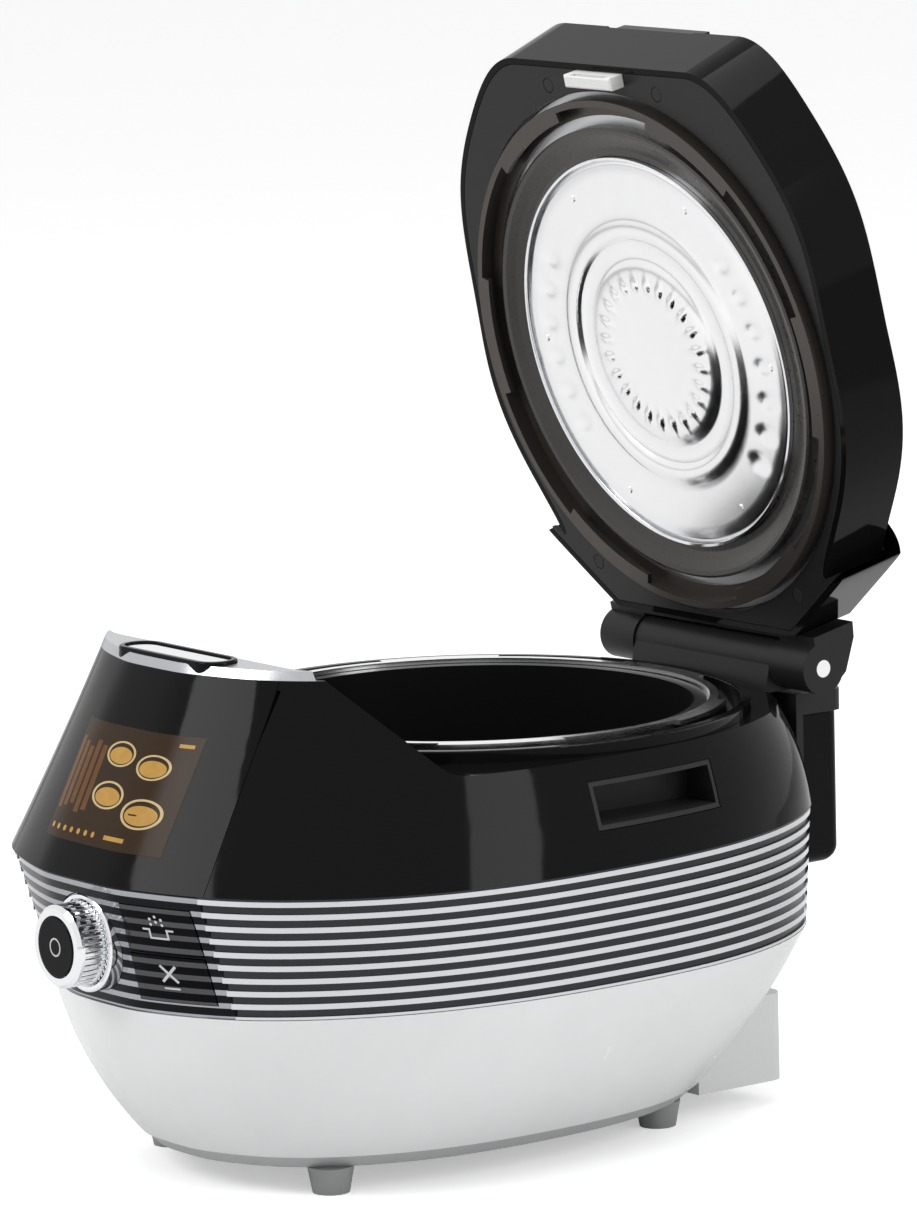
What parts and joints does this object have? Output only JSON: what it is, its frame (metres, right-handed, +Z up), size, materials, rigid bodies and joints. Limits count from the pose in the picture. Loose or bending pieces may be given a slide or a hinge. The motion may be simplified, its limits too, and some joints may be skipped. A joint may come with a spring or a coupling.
{
  "type": "multicooker",
  "caption": "Countertop pressure multicooker with a hinged lid open over a round pot, a ribbed band, a turning knob, press keys and a dark screen.",
  "frame": {"origin": "on the worktop, under the middle of the whole cooker with its lid open", "axes": "+Z up, -Y out of the front with the knob, +Y out of the rear with the hinge, X from side to side"},
  "size_m": [0.295, 0.4053, 0.4922],
  "materials": {
    "white_shell": "pearl white, gloss",
    "black_gloss": "piano black",
    "black_matte": "fine matte",
    "grey_plastic": "matte dark grey",
    "foot_grey": "milky grey, satin",
    "band_chrome": "ribbed, dark in the grooves",
    "bright_chrome": "polished",
    "silver": "fine brushed",
    "screen": "amber on dark, lit",
    "steel": "polished",
    "pot_black": "non-stick coating, satin",
    "silicone": "dark silicone",
    "ring_grey": "satin brown grey",
    "copper": "enamelled copper",
    "ferrite": "dull dark",
    "board_green": "solder mask",
    "aluminium": "bare",
    "white_plastic": "satin white"
  },
  "bodies": {
    "cooker": {"base_plate": "foot_grey", "feet": "foot_grey", "foot_screws": "steel", "lower_shell": "white_shell", "rear_support": "white_shell", "power_inlet": "black_matte", "trim_band": "band_chrome", "control_panel": "black_gloss", "control_board": "board_green", "key_switches": "black_matte", "knob_bezel": "bright_chrome", "encoder": "steel", "upper_shell": "black_gloss", "front_window": "black_gloss", "screen_module": "screen", "front_cap": "silver", "button_bezel": "bright_chrome", "side_grips": "black_matte", "deck_ring": "black_gloss", "lock_collar": "steel", "heater_bowl": "aluminium", "pot_sensor": "aluminium", "induction_coil": "copper", "coil_carrier": "white_plastic", "ferrite_bars": "ferrite", "power_board": "board_green", "heat_sink": "aluminium", "fan_frame": "black_matte", "hinge_bracket": "black_matte", "hinge_pin": "steel", "lid_spring": "steel", "rear_holder": "black_matte"},
    "lid": {"lid_shell": "black_gloss", "lid_frame": "grey_plastic", "frame_screws": "black_matte", "lid_catch": "white_plastic", "pressure_plate": "aluminium", "gasket": "silicone", "plate_ring": "bright_chrome", "inner_plate": "steel", "plate_studs": "steel", "lid_arm": "black_matte", "lid_vent": "black_matte", "steam_duct": "aluminium", "steam_cap": "black_matte", "lock_motor": "black_matte"},
    "lid_lock_ring": {"lock_ring": "ring_grey"},
    "pot": {"inner_pot": "pot_black"},
    "button": {"release_button": "bright_chrome"},
    "latch": {"latch_slide": "steel"},
    "knob": {"knob_ring": "bright_chrome"},
    "ok": {"ok_button": "black_gloss"},
    "start": {"start_key": "black_gloss"},
    "cancel": {"cancel_key": "black_gloss"},
    "fan": {"fan_rotor": "black_matte"},
    "drip_catcher": {"drip_box": "black_gloss"}
  },
  "joints": [
    {"name": "lid_hinge", "type": "hinge", "parent": "cooker", "child": "lid", "pos_m": [0, 0.1735, 0.2012], "axis": [-1, 0, 0], "range_deg": [-77.85, 0], "stiffness_Nm_per_rad": 2, "springref_deg": 68.75},
    {"name": "lock_turn", "type": "hinge", "parent": "lid", "child": "lid_lock_ring", "pos_m": [0, 0.13348, 0.34244], "axis": [0, -0.9776, -0.2105], "range_deg": [0, 28]},
    {"name": "pot_lift", "type": "slide", "parent": "cooker", "child": "pot", "axis": [0, 0, 1], "range_m": [0, 0.12]},
    {"name": "button_press", "type": "slide", "parent": "cooker", "child": "button", "axis": [0, 0, -1], "range_m": [0, 0.004], "stiffness_N_per_m": 900, "springref_m": -0.002},
    {"name": "latch_draw", "type": "slide", "parent": "cooker", "child": "latch", "axis": [0, -1, 0], "range_m": [0, 0.004], "stiffness_N_per_m": 400, "springref_m": -0.002},
    {"name": "knob_turn", "type": "hinge", "parent": "cooker", "child": "knob", "pos_m": [0, -0.173, 0.115], "axis": [0, -1, 0], "continuous": true},
    {"name": "ok_press", "type": "slide", "parent": "knob", "child": "ok", "axis": [0, 1, 0], "range_m": [0, 0.0015], "stiffness_N_per_m": 600, "springref_m": -0.001},
    {"name": "start_press", "type": "slide", "parent": "cooker", "child": "start", "axis": [-0.265, 0.9642, 0], "range_m": [0, 0.001], "stiffness_N_per_m": 800, "springref_m": -0.001},
    {"name": "cancel_press", "type": "slide", "parent": "cooker", "child": "cancel", "axis": [-0.265, 0.9642, 0], "range_m": [0, 0.001], "stiffness_N_per_m": 800, "springref_m": -0.001},
    {"name": "fan_spin", "type": "hinge", "parent": "cooker", "child": "fan", "pos_m": [0.03, -0.035, 0.025], "axis": [0, 0, 1], "continuous": true},
    {"name": "drip_box_pull", "type": "slide", "parent": "cooker", "child": "drip_catcher", "axis": [0, 1, 0], "range_m": [0, 0.06]}
  ],
  "couplings": [
    {"joint": "latch_draw", "follows": "button_press", "ratio": 1}
  ]
}
